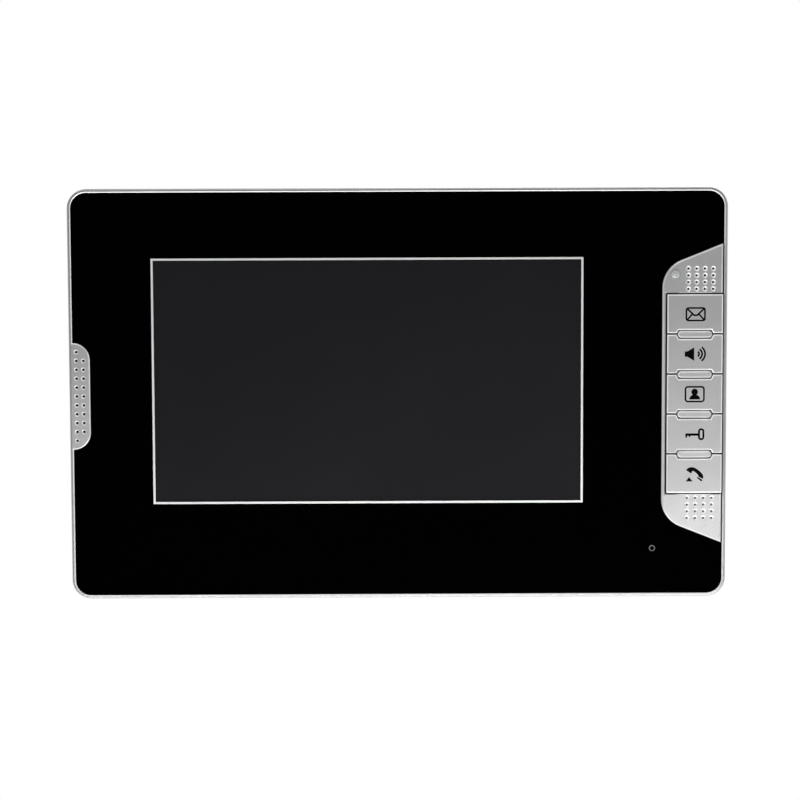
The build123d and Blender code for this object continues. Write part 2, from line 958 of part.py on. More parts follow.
# ---- microphone and speaker ----
def make_microphone_boot():
    outer = mic_radius + boot_wall
    boot = disc(mic_x, mic_z, outer, seam_depth - boot_face - mic_thick, seam_depth)
    boot -= disc(mic_x, mic_z, mic_radius, seam_depth - boot_face - mic_thick - past, seam_depth - boot_face)
    return boot - disc(mic_x, mic_z, mic_hole, seam_depth - boot_face - past, seam_depth + past)


def make_microphone():
    front = seam_depth - boot_face
    return disc(mic_x, mic_z, mic_radius - mic_fit, front - mic_thick, front)


def speaker_area(inset):
    return Pos(speaker_x, tab_z) * Rectangle(speaker_width - 2 * inset, speaker_height - 2 * inset)


def make_speaker_frame():
    front = speaker_front
    frame = plate(speaker_area(0) - speaker_area(speaker_ring), front - speaker_flange, front)
    basket_back = speaker_back + magnet_thick
    basket = speaker_area(basket_inset)
    frame += plate(basket - speaker_area(basket_inset + basket_wall), basket_back, front - speaker_flange)
    yoke = Pos(speaker_x, tab_z) * Rectangle(magnet_width, magnet_height)
    return frame + plate(basket - yoke, basket_back - basket_plate, basket_back)


def make_speaker_cone():
    cone_front = speaker_front - speaker_flange / 2
    sheet = plate(speaker_area(speaker_ring), cone_front - cone_thick, cone_front)
    cap = Pos(speaker_x, tab_z) * SlotOverall(magnet_height, magnet_width * 0.6, rotation=90)
    return sheet + plate(cap, cone_front, cone_front + cone_cap)


def make_speaker_magnet():
    yoke = Pos(speaker_x, tab_z) * Rectangle(magnet_width, magnet_height)
    return plate(yoke, speaker_back, speaker_back + magnet_thick)


def make_speaker_gasket():
    return plate(speaker_area(0) - speaker_area(speaker_ring), speaker_front, seam_depth)


def make_grille_mesh():
    half = chamber_half - mesh_gap
    left = chamber_left + mesh_gap
    return block(left, mesh_right - mesh_gap, tab_back - mesh_thick, tab_back, tab_z - half, tab_z + half)


# ---- rear cover ----
def cover_section(depth, inset):
    half_x = cover_half_x(depth) - inset
    half_z = cover_half_z(depth) - inset
    return facing(depth) * RectangleRounded(2 * half_x, 2 * half_z, cover_corner - inset)


def recess_area(grow):
    # The bracket's place in the cover, longer below so that the monitor can be lifted.
    clear = bracket_side_gap
    half = bracket_width / 2 + clear + grow
    top = bracket_height / 2 + clear + grow
    bottom = -bracket_height / 2 - clear - lift_travel - grow
    return Pos(0, (top + bottom) / 2) * Rectangle(2 * half, top - bottom)


def hook_slots():
    cutters = []
    half = hook_width / 2 + hook_slot_gap
    for side in (-1, 1):
        for low in hook_low_z:
            x = side * hook_x
            high = low + hook_thick + hook_rest_gap
            bottom = low - lift_travel - 2 * bracket_gap
            cutters.append(block(x - half, x + half, 0, recess_inner + past, bottom, high))
    return cutters


def wheel_slots():
    cutters = []
    half = wheel_radius - wheel_slot_inset
    back = wheel_back - wheel_slot_gap
    front = wheel_front + wheel_slot_gap
    top = wheel_rim_z + wheel_radius / 2 + wheel_slot_rise
    for x in wheel_x:
        cutters.append(block(x - half, x + half, back, front, wheel_rim_z - past, top))
    return cutters


def vents():
    # Two rows of upright slots; the upper row leaves out those that would meet the middle screw's boss.
    cutters = []
    boss_room = boss_radius + well_wall + vent_width
    for index in range(vent_count):
        x = (index - (vent_count - 1) / 2) * vent_pitch
        rows = [vent_bottom_z] if abs(x) < boss_room else [vent_bottom_z, vent_top_z]
        for z in rows:
            slot = Pos(x, z) * SlotOverall(vent_length, vent_width, rotation=90)
            cutters.append(plate(slot, -past, inner_back + past))
    return cutters


def make_rear_cover():
    cover = loft([cover_section(wall_gap, 0), cover_section(seam_depth, 0)])
    cover = fillet(edges_at(cover, wall_gap), cover_edge)
    cover -= loft([cover_section(inner_back, cover_wall), cover_section(seam_depth, cover_wall)])
    cover += plate(recess_area(cover_wall), wall_gap, recess_inner)
    bay = Rectangle(bay_width + 2 * bay_wall, bay_height + 2 * bay_wall)
    cover += plate(bay, recess_depth, board_depth - bay_gap)
    well_radius = screw_head_radius + screw_clearance + well_wall
    for x, z in boss_spots:
        cover += disc(x, z, well_radius, inner_back - past, boss_end)
    for x in board_hole_x:
        for z in board_hole_z:
            cover += disc(x, z, standoff_radius, inner_back - past, board_depth)
    cover -= plate(recess_area(0), -past, recess_depth)
    cover -= plate(Rectangle(bay_width, bay_height), -past, board_depth)
    for x, z in boss_spots:
        cover -= disc(x, z, screw_head_radius + screw_clearance, -past, boss_end - well_floor)
        cover -= disc(x, z, screw_radius + screw_clearance, -past, boss_end + past)
    for x in board_hole_x:
        for z in board_hole_z:
            cover -= disc(x, z, board_screw_radius, recess_inner + bracket_gap, board_depth + past)
    return cover - hook_slots() - wheel_slots() - vents()


def make_housing_screws():
    head_back = boss_end - well_floor - screw_head_height
    length = well_floor + screw_length - thread_end
    screws = []
    for x, z in boss_spots:
        screws.append(
            screw(x, z, head_back, screw_head_height, screw_head_radius, length, screw_radius - thread_fit)
        )
    return Compound(children=screws)


# ---- wall bracket ----
def make_wall_bracket():
    sheet = RectangleRounded(bracket_width, bracket_height, bracket_corner)
    sheet -= RectangleRounded(cable_width, cable_height, cable_corner)
    for x in (-wall_hole_x / 2, wall_hole_x / 2):
        for z in (-wall_hole_z / 2, wall_hole_z / 2):
            sheet -= Pos(x, z) * Circle(wall_hole)
    for x in (-box_slot_x / 2, box_slot_x / 2):
        sheet -= Pos(x, 0) * SlotOverall(box_slot_length, 2 * wall_hole)
    bracket = plate(sheet, 0, bracket_thick)
    half = hook_width / 2
    for side in (-1, 1):
        for low in hook_low_z:
            x = side * hook_x
            blank = hook_front - bracket_thick + hook_tall
            bottom = low + hook_thick
            bracket -= block(x - half, x + half, -past, bracket_thick + past, bottom, bottom + blank)
            arm = block(x - half, x + half, 0, hook_front, low, low + hook_thick)
            tip = block(x - half, x + half, hook_back, hook_front, low, low + hook_tall)
            bracket += arm + tip
    return bracket


# ---- main board ----
def make_main_board():
    front = board_depth + board_thick
    board = block(board_left, board_right, board_depth, front, board_bottom, board_top)
    for x in board_hole_x:
        for z in board_hole_z:
            board -= disc(x, z, board_screw_radius + board_hole_fit, board_depth - past, front + past)
    return board


def make_board_screws():
    # The heads are on the front side of the board and the shanks point to the wall.
    screws = []
    front = board_depth + board_thick
    for x in board_hole_x:
        for z in board_hole_z:
            shank = disc(x, z, board_screw_radius - thread_fit, front - board_screw_length, front)
            head = disc(x, z, board_screw_head, front, front + board_screw_head_height)
            screws.append(shank + head)
    return Compound(children=screws)


def on_board(x, z, size_x, size_z, height):
    # A block on the board's wall side.
    back = board_depth - height
    return block(x - size_x / 2, x + size_x / 2, back, board_depth, z - size_z / 2, z + size_z / 2)


def socket_length(pins):
    return (pins - 1) * socket_pitch + 2 * socket_end


def socket_centres():
    lengths = [socket_length(pins) for pins in socket_pins_each]
    total = sum(lengths) + socket_space * (len(lengths) - 1)
    centres = []
    left = -total / 2
    for length in lengths:
        centres.append(left + length / 2)
        left += length + socket_space
    return centres


def make_socket(index):
    # An open box with a floor that the pins stand on.
    x = socket_centres()[index]
    length = socket_length(socket_pins_each[index])
    shell = on_board(x, 0, length, socket_width, socket_height)
    inner_x = length / 2 - socket_wall
    inner_z = socket_width / 2 - socket_wall
    mouth = board_depth - socket_height
    floor = board_depth - socket_floor
    shell -= block(x - inner_x, x + inner_x, mouth - past, floor, -inner_z, inner_z)
    # Two slits in one long side guide the plug's ribs.
    for side in (-1, 1):
        slit = x + side * (inner_x - slit_from_end)
        left, right = slit - slit_width / 2, slit + slit_width / 2
        shell -= block(left, right, mouth - past, floor - slit_floor, inner_z - slit_lip, socket_width)
    return shell


def make_socket_pins():
    pins = []
    floor = board_depth - socket_floor
    tip = board_depth - socket_height + pin_gap
    half = pin_size / 2
    for centre, count in zip(socket_centres(), socket_pins_each):
        for index in range(count):
            x = centre + (index - (count - 1) / 2) * socket_pitch
            pins.append(block(x - half, x + half, tip, floor, -half, half))
    return Compound(children=pins)


def make_processor():
    x, z = processor_spot
    chip = on_board(x, z, processor_size, processor_size, processor_thick)
    long = processor_size + 2 * leg_reach
    short = processor_size - leg_reach
    legs = on_board(x, z, long, short, leg_height) + on_board(x, z, short, long, leg_height)
    return chip + legs


def make_small_chips():
    chips = []
    size_x, size_z, height = small_chip_size
    for x, z in small_chip_spots:
        row = on_board(x, z, size_x - 2 * small_chip_inset, size_z + 2 * leg_reach, leg_height)
        chips.append(on_board(x, z, size_x, size_z, height) + row)
    return Compound(children=chips)


def make_capacitors():
    cans = []
    for x, z in capacitor_spots:
        base = on_board(x, z, capacitor_base, capacitor_base, capacitor_base_thick)
        can = disc(x, z, capacitor_radius, board_depth - capacitor_height, board_depth)
        cans.append(base + can)
    return Compound(children=cans)


def make_coil():
    x, z = coil_spot
    back = board_depth - coil_height
    ring = disc(x, z, coil_radius, back, board_depth)
    return ring - disc(x, z, coil_core, back - past, board_depth - coil_floor)


def lead_socket_spot(name):
    # Centre of an inner lead's socket at the board's left or right edge.
    inset = lead_socket_width / 2 + lead_socket_edge
    x = board_left + inset if name == "speaker" else board_right - inset
    return x, lead_socket_z[name]


def make_lead_sockets():
    sockets = []
    for name, long in lead_socket_long.items():
        x, z = lead_socket_spot(name)
        sockets.append(on_board(x, z, lead_socket_width, long, lead_socket_height))
    return Compound(children=sockets)


# ---- thumbwheels ----
def make_wheel(index):
    # A flat wheel with a gripped edge that turns on the potentiometer's post.
    x = wheel_x[index]
    face = Circle(wheel_radius)
    for step in range(wheel_grips):
        angle = 2 * math.pi * step / wheel_grips
        face -= Pos(wheel_radius * math.cos(angle), wheel_radius * math.sin(angle)) * Circle(grip_radius)
    face -= Circle(post_radius + wheel_bore_gap)
    wheel = plate(Pos(x, wheel_z) * face, wheel_back, wheel_front)
    # A dish in the back face leaves a raised edge and hub; a small hole in the front face marks the setting.
    dish = Circle(wheel_radius - wheel_edge) - Circle(post_radius + wheel_hub)
    wheel -= plate(Pos(x, wheel_z) * dish, wheel_back - past, wheel_back + wheel_dish)
    mark_z = wheel_z + wheel_radius - mark_in
    return wheel - disc(x, mark_z, mark_radius, wheel_front - mark_deep, wheel_front + past)


def make_potentiometers():
    pots = []
    half = pot_size / 2
    for x in wheel_x:
        base = block(x - half, x + half, wheel_front + pot_gap, board_depth, wheel_z - half, wheel_z + half)
        pots.append(base + disc(x, wheel_z, post_radius, wheel_back - post_end, wheel_front + pot_gap))
    return Compound(children=pots)


# ---- inner leads ----
def tube_along(points, radii, radius):
    # Straight runs joined by tangent arcs; points are (x, depth, z).
    path = FilletPolyline(*[(x, -depth, z) for x, depth, z in points], radius=radii)
    start = path @ 0
    section = Plane(origin=start, z_dir=path % 0) * Circle(radius)
    return sweep(section, path=path)


def make_speaker_lead():
    x, z = lead_socket_spot("speaker")
    end = x - lead_socket_width / 2
    start = speaker_x + speaker_width / 2 - speaker_lead_in
    basket_back = speaker_back + magnet_thick - basket_plate
    depth = board_depth - lead_socket_height / 2
    points = [(start, basket_back, z), (start, depth, z), (end, depth, z)]
    return tube_along(points, [lead_bend], lead_radius)


def make_microphone_lead():
    x, z = lead_socket_spot("microphone")
    end = x + lead_socket_width / 2
    depth = board_depth - lead_socket_height / 2
    boot_back = seam_depth - boot_face - mic_thick
    step_x, step_z = mic_lead_step
    points = [
        (mic_x, boot_back, mic_z),
        (mic_x, depth + mic_lead_rise, mic_z),
        (mic_x - step_x, depth, mic_z + step_z),
        (end + mic_lead_run, depth, z),
        (end, depth, z),
    ]
    return tube_along(points, [lead_bend, lead_wide_bend, lead_bend], lead_radius)


def make_key_ribbon():
    # A flat cable from the back of the key board to its socket, bent in depth only.
    x, z = lead_socket_spot("keys")
    end = x + lead_socket_width / 2
    depth = board_depth - lead_socket_height / 2
    flat = key_board_depth - key_board_thick - ribbon_thick / 2
    start = key_board_left + ribbon_lap
    points = [(start, flat), (key_board_left - ribbon_out, flat), (end + ribbon_run, depth), (end, depth)]
    line = FilletPolyline(*points, radius=lead_bend)
    # This plane's axes are X and the depth.
    side = Plane(origin=(0, 0, z + ribbon_width / 2), x_dir=(1, 0, 0), z_dir=(0, 0, -1))
    return extrude(side * trace(line, ribbon_thick), ribbon_width)


# ---- every piece by name ----
pieces = {
    "wall_bracket": make_wall_bracket(),
    "rear_cover": make_rear_cover(),
    "front_frame": make_front_frame(),
    "front_panel": make_front_panel(),
    "panel_tape": make_panel_tape(),
    "screen_trim": make_screen_trim(),
    "screen_lens": make_screen_lens(),
    "screen_gasket": make_screen_gasket(),
    "lcd_cell": make_lcd_cell(),
    "lcd_diffuser": make_lcd_diffuser(),
    "lcd_light_guide": make_lcd_light_guide(),
    "lcd_light_bar": make_lcd_light_bar(),
    "lcd_frame": make_lcd_frame(),
    "lcd_tray": make_lcd_tray(),
    "lcd_flex": make_lcd_flex(),
    "lcd_flex_socket": make_lcd_flex_socket(),
    "lcd_clips": make_lcd_clips(),
    "lcd_clip_screws": make_lcd_clip_screws(),
    "key_trim": make_key_trim(),
    "key_switches": make_key_switches(),
    "key_board": make_key_board(),
    "key_board_screws": make_key_board_screws(),
    "key_ribbon": make_key_ribbon(),
    "status_lens": make_status_lens(),
    "status_led": make_status_led(),
    "microphone": make_microphone(),
    "microphone_boot": make_microphone_boot(),
    "microphone_lead": make_microphone_lead(),
    "grille_mesh": make_grille_mesh(),
    "speaker_gasket": make_speaker_gasket(),
    "speaker_frame": make_speaker_frame(),
    "speaker_cone": make_speaker_cone(),
    "speaker_magnet": make_speaker_magnet(),
    "speaker_lead": make_speaker_lead(),
    "main_board": make_main_board(),
    "board_screws": make_board_screws(),
    "processor": make_processor(),
    "small_chips": make_small_chips(),
    "capacitors": make_capacitors(),
    "coil": make_coil(),
    "lead_sockets": make_lead_sockets(),
    "door_socket_1": make_socket(0),
    "door_socket_2": make_socket(1),
    "power_socket": make_socket(2),
    "socket_pins": make_socket_pins(),
    "potentiometers": make_potentiometers(),
    "housing_screws": make_housing_screws(),
}
for key_index, key_name in enumerate(key_names):
    pieces["key_" + key_name] = make_key(key_index)
    pieces["plunger_" + key_name] = make_plunger(key_index)
for wheel_index, wheel_name in enumerate(wheel_names):
    pieces[wheel_name + "_wheel"] = make_wheel(wheel_index)

os.makedirs("parts", exist_ok=True)
for node, shape in pieces.items():
    export_step(shape, "parts/" + node + ".step")
print(len(pieces), "pieces written")
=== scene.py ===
import math

import bpy
import numpy as np
from mathutils import Matrix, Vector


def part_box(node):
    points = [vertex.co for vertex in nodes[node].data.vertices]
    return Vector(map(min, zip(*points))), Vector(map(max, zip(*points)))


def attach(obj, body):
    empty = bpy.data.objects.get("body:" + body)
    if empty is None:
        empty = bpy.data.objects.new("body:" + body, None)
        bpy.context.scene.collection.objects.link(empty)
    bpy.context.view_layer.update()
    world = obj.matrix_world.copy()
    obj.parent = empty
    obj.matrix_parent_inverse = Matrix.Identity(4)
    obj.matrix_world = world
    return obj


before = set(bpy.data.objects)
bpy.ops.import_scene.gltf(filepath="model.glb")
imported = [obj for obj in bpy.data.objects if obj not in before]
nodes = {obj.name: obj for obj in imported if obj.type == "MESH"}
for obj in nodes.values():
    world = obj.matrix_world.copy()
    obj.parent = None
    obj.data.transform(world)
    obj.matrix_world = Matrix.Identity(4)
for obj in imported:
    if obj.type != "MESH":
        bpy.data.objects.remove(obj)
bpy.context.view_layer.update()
mm = 0.001
usual = 0.3, 0.7    # most of a noise's values lie between these
fade = 0.05         # how softly one zone of paint runs into the next, in millimetres
print("frame loaded:", len(nodes), "nodes")


# A shader node with its settings and inputs; an input that is another node's socket is linked.
def addNode(tree, kind, inputs=None, **settings):
    made = tree.nodes.new(kind)
    for key, value in settings.items():
        setattr(made, key, value)
    for key, value in (inputs or {}).items():
        if isinstance(value, bpy.types.NodeSocket):
            tree.links.new(value, made.inputs[key])
        else:
            made.inputs[key].default_value = value
    return made


# An empty material with its tree, its Principled shader and its object coordinates.
def newFinish(name, **shaderInputs):
    made = bpy.data.materials.new(name)
    made.use_nodes = True
    tree = made.node_tree
    tree.nodes.clear()
    inputs = {key.replace("_", " "): value for key, value in shaderInputs.items()}
    shader = addNode(tree, "ShaderNodeBsdfPrincipled", inputs)
    output = addNode(tree, "ShaderNodeOutputMaterial")
    tree.links.new(shader.outputs["BSDF"], output.inputs["Surface"])
    place = addNode(tree, "ShaderNodeTexCoord").outputs["Object"]
    return made, tree, shader, place


def grey(value):
    return value, value, value


def opaque(colour):
    return *colour, 1.0


def shade(colour, factor):
    return tuple(min(1.0, channel * factor) for channel in colour)


# Soft noise from 0 to 1; the scale counts its lumps to a metre.
def noise(tree, place, scale, detail):
    inputs = {"Vector": place, "Scale": scale, "Detail": detail, "Roughness": 0.55}
    return addNode(tree, "ShaderNodeTexNoise", inputs).outputs["Fac"]


# Two or more colours along a 0 to 1 value.
def ramp(tree, value, stops):
    made = addNode(tree, "ShaderNodeValToRGB", {"Fac": value})
    band = made.color_ramp
    while len(band.elements) < len(stops):
        band.elements.new(0.5)
    for element, (at, colour) in zip(band.elements, stops):
        element.position = at
        element.color = opaque(colour)
    return made.outputs["Color"]


# A colour that goes from a darker to a lighter shade as a value goes from limit to limit.
def drifting(tree, value, colour, share, limits=usual):
    shades = shade(colour, 1 - share), shade(colour, 1 + share)
    return ramp(tree, value, list(zip(limits, shades)))


# A number that goes from low to high as a value goes from start to end.
def spread(tree, value, low, high, start, end):
    inputs = {"Value": value, "From Min": start, "From Max": end, "To Min": low, "To Max": high}
    return addNode(tree, "ShaderNodeMapRange", inputs).outputs["Result"]


def bump(tree, height, distance):
    inputs = {"Height": height, "Distance": distance, "Strength": 1.0}
    return addNode(tree, "ShaderNodeBump", inputs).outputs["Normal"]


def mixed(tree, share, first, second):
    inputs = {"Fac": share, "Color1": first, "Color2": second}
    return addNode(tree, "ShaderNodeMixRGB", inputs).outputs["Color"]


# One operation on vectors; each value is a socket or a constant.
def vectorMath(tree, operation, *values):
    made = addNode(tree, "ShaderNodeVectorMath", dict(enumerate(values)), operation=operation)
    return made.outputs["Value" if operation in ("LENGTH", "DOT_PRODUCT") else "Vector"]


# The same on numbers.
def numberMath(tree, operation, *values):
    return addNode(tree, "ShaderNodeMath", dict(enumerate(values)), operation=operation).outputs[0]


# How far a point lies past a rounded upright rectangle, in metres; negative inside it, down to
# the corner's radius. The point is folded into the first quarter and measured from the centre
# of the corner there.
def pastBox(tree, place, centre, half, corner):
    moved = vectorMath(tree, "SUBTRACT", place, (centre[0] * mm, 0.0, centre[1] * mm))
    flat = vectorMath(tree, "MULTIPLY", moved, (1.0, 0.0, 1.0))
    folded = vectorMath(tree, "ABSOLUTE", flat)
    inner = ((half[0] - corner) * mm, 0.0, (half[1] - corner) * mm)
    over = vectorMath(tree, "SUBTRACT", folded, inner)
    away = vectorMath(tree, "LENGTH", vectorMath(tree, "MAXIMUM", over, (0.0, 0.0, 0.0)))
    return numberMath(tree, "SUBTRACT", away, corner * mm)


# Greys by the depth from the wall in millimetres, through (depth, grey) points.
def byDepth(tree, place, points):
    depth = addNode(tree, "ShaderNodeSeparateXYZ", {"Vector": place}).outputs["Y"]
    near, far = points[0][0], points[-1][0]
    share = spread(tree, depth, 0.0, 1.0, -near * mm, -far * mm)
    return ramp(tree, share, [((at - near) / (far - near), grey(tone)) for at, tone in points])


# Silver paint: a metallic coat with a fine flake, a slow drift of tone and a faint orange peel.
# Bevels just under a face get a painted highlight, faces are plain and the gaps below them get
# painted shade, all by depth. A band may have greys of its own, and an outer rim keeps one tone
# all round in place of them.
def silverPaint(name, look):
    made, tree, shader, place = newFinish(name, Metallic=look["metallic"], Roughness=look["roughness"])
    flake = noise(tree, place, look["flakeScale"], 2.0)
    drift = noise(tree, place, look["driftScale"], 2.0)
    # The two add up to between 0.7 and 1.3 nearly everywhere.
    tone = spread(tree, numberMath(tree, "ADD", flake, drift), 0.0, 1.0, 0.7, 1.3)
    paint = drifting(tree, tone, look["colour"], look["flake"], (0.0, 1.0))
    if "depths" in look:
        # Painted highlight on bevels and painted shade in gaps, chosen by depth.
        rubbingAndPaintedLight = byDepth(tree, place, look["depths"])
        if "band" in look:
            band = look["band"]
            past = pastBox(tree, place, band["centre"], band["half"], band["corner"])
            within = spread(tree, past, 1.0, 0.0, 0.0, fade * mm)
            rubbingAndPaintedLight = mixed(tree, within, rubbingAndPaintedLight, byDepth(tree, place, band["depths"]))
        if "rim" in look:
            rim = look["rim"]
            past = pastBox(tree, place, (0.0, 0.0), rim["half"], rim["corner"])
            outer = spread(tree, past, 0.0, 1.0, -rim["width"] * mm, (fade - rim["width"]) * mm)
            rubbingAndPaintedLight = mixed(tree, outer, rubbingAndPaintedLight, opaque(grey(rim["tone"])))
        paint = vectorMath(tree, "MULTIPLY", paint, rubbingAndPaintedLight)
    tree.links.new(paint, shader.inputs["Base Color"])
    tree.links.new(bump(tree, flake, look["peel"]), shader.inputs["Normal"])
    return made


# Polished or satin sheet plastic: one colour, with roughness that drifts where it has been wiped.
# A zone may have another colour and roughness: a ring along a rounded rectangle's outline, or
# all that lies outside it.
def sheetPlastic(name, look):
    made, tree, shader, place = newFinish(name, Base_Color=opaque(look["colour"]), IOR=look["ior"])
    shader.inputs["Specular IOR Level"].default_value = look.get("gloss", 0.5)
    wiped = noise(tree, place, look["wipeScale"], 4.0)
    rough = spread(tree, wiped, *look["roughness"], *usual)
    if "zone" in look:
        zone = look["zone"]
        past = pastBox(tree, place, zone["centre"], zone["half"], zone["corner"])
        if zone["ring"]:
            past = numberMath(tree, "ABSOLUTE", past)
        start, end = zone["edge"]
        share = spread(tree, past, *zone["share"], start * mm, end * mm)
        colour = mixed(tree, share, opaque(look["colour"]), opaque(zone["colour"]))
        tree.links.new(colour, shader.inputs["Base Color"])
        rough = mixed(tree, share, rough, opaque(grey(zone["roughness"])))
    tree.links.new(rough, shader.inputs["Roughness"])
    fine = noise(tree, place, look["grainScale"], 2.0)
    tree.links.new(bump(tree, fine, look["grain"]), shader.inputs["Normal"])
    return made


# Moulded plastic or rubber: eroded pits of one size over a base tone that drifts a little.
def mouldedPlastic(name, look):
    made, tree, shader, place = newFinish(name, IOR=1.46)
    cells = {"Vector": place, "Scale": look["pitScale"]}
    pits = addNode(tree, "ShaderNodeTexVoronoi", cells).outputs["Distance"]
    drift = noise(tree, place, look["driftScale"], 4.0)
    base = drifting(tree, drift, look["colour"], look["vary"])
    tree.links.new(base, shader.inputs["Base Color"])
    tree.links.new(spread(tree, drift, *look["roughness"], *usual), shader.inputs["Roughness"])
    tree.links.new(bump(tree, pits, look["pitDepth"]), shader.inputs["Normal"])
    return made


# Plated or bare metal: crystals of slightly different tone, with fine rubbing in its roughness.
def platedMetal(name, look):
    made, tree, shader, place = newFinish(name, Metallic=1.0)
    cells = {"Vector": place, "Scale": look["crystalScale"]}
    crystals = addNode(tree, "ShaderNodeTexVoronoi", cells).outputs["Color"]
    tone = addNode(tree, "ShaderNodeRGBToBW", {"Color": crystals}).outputs["Val"]
    base = drifting(tree, tone, look["colour"], look["vary"], (0.2, 0.8))
    tree.links.new(base, shader.inputs["Base Color"])
    # Nothing is painted here: the rubbing only roughens and bumps the metal.
    rubbingAndPaintedLight = noise(tree, place, look["rubScale"], 4.0)
    tree.links.new(spread(tree, rubbingAndPaintedLight, *look["roughness"], *usual), shader.inputs["Roughness"])
    tree.links.new(bump(tree, rubbingAndPaintedLight, look["rub"]), shader.inputs["Normal"])
    return made


# Clear or tinted plastic that lets light through.
def clearPlastic(name, look):
    made, tree, shader, place = newFinish(
        name, Base_Color=opaque(look["colour"]), Transmission_Weight=look["clear"], IOR=1.49)
    haze = noise(tree, place, look["hazeScale"], 2.0)
    tree.links.new(spread(tree, haze, *look["roughness"], *usual), shader.inputs["Roughness"])
    return made


# Circuit board: solder mask over a faint net of tracks.
def circuitBoard(name, look):
    made, tree, shader, place = newFinish(
        name, Roughness=look["roughness"], Coat_Weight=0.4, Coat_Roughness=0.2)
    # The net lies in XY, so it is turned to stand in XZ.
    turned = addNode(tree, "ShaderNodeMapping", {"Vector": place, "Rotation": (math.pi / 2, 0, 0)})
    black, white = opaque(grey(0.0)), opaque(grey(1.0))
    net = {
        "Vector": turned.outputs["Vector"], "Scale": look["trackScale"], "Mortar Smooth": 0.2,
        "Mortar Size": look["trackWidth"], "Brick Width": look["trackLength"],
        "Row Height": look["trackPitch"], "Color1": black, "Color2": black, "Mortar": white}
    bricks = addNode(tree, "ShaderNodeTexBrick", net, offset=0.37, squash=0.6, squash_frequency=3)
    tracks = bricks.outputs["Color"]
    colour = ramp(tree, tracks, [(0.0, look["colour"]), (1.0, look["track"])])
    tree.links.new(colour, shader.inputs["Base Color"])
    tree.links.new(bump(tree, tracks, look["trackHeight"]), shader.inputs["Normal"])
    return made


# Centre and half sizes of a node seen from the front, in millimetres.
def frontOf(name):
    low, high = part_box(name)
    centre, half = (low + high) / 2 / mm, (high - low) / 2 / mm
    return (centre.x, centre.z), (half.x, half.z)


# Points for byDepth, given as (step, grey) from a face's own depth.
def fromFace(front, points):
    return [(front + step, tone) for step, tone in points]


bodyHalf = frontOf("front_frame")[1]
micCentre = frontOf("microphone")[0]
trimCentre, trimHalf = frontOf("screen_trim")
keyCentre = frontOf("key_monitor")[0]
columnCentre, columnHalf = frontOf("key_trim")
rimFront, columnFront, barFront, keyFront = 24.0, 24.4, 24.9, 25.0    # depths of the faces
windowHalf = trimHalf[0] - 1.0, trimHalf[1] - 1.0                     # inside the silver line
micMouth = 0.93                   # radius of the ring round the microphone hole
grilleHalf = 8.0, 46.3            # half sizes of the band that holds both grille patches
# Each face's own greys, as (step, grey) points: a painted highlight on its edge and then the plain face.
keyFace = [(-0.04, 1.0), (-0.01, 0.61), (0.2, 0.61)]
barFace = fromFace(barFront, [(-0.45, 1.0), (-0.04, 1.0), (-0.01, 0.64), (0.2, 0.64)])
columnFace = [(-0.01, 0.64), (0.02, 0.64)]
silver = {"metallic": 0.75, "roughness": 0.42, "colour": (0.92, 0.92, 0.93), "flake": 0.07,
          "flakeScale": 2600, "driftScale": 60, "peel": 0.000012}

